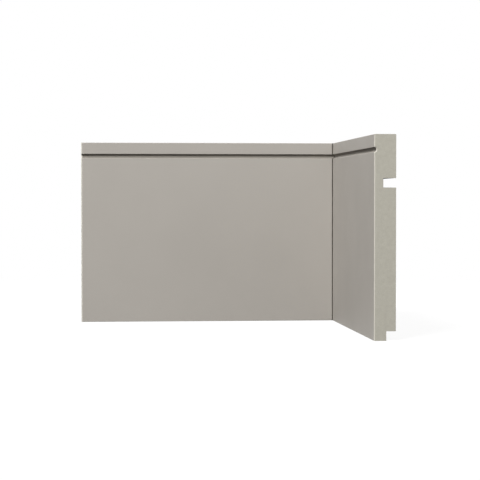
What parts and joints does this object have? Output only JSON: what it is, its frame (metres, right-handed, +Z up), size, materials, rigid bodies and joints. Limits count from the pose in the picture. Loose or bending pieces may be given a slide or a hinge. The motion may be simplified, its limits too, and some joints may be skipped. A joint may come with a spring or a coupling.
{
  "type": "skirting board inside corner",
  "caption": "Inside corner of tall flat skirting board with a fine groove under its top edge, a clip slot in the back and a cable rebate at the foot, mitred and glued.",
  "frame": {"origin": "on the floor, under the middle of the box that holds both boards", "axes": "+Z up; the left board runs along X and its face looks to -Y; the return board runs along Y and its face looks to -X"},
  "size_m": [0.228, 0.228, 0.15],
  "materials": {
    "moulding": "satin warm grey rigid foamed polystyrene, one colour right through, with a fine cell speckle on cut ends"
  },
  "bodies": {
    "root": {"left_board": "moulding", "return_board": "moulding"}
  },
  "joints": []
}
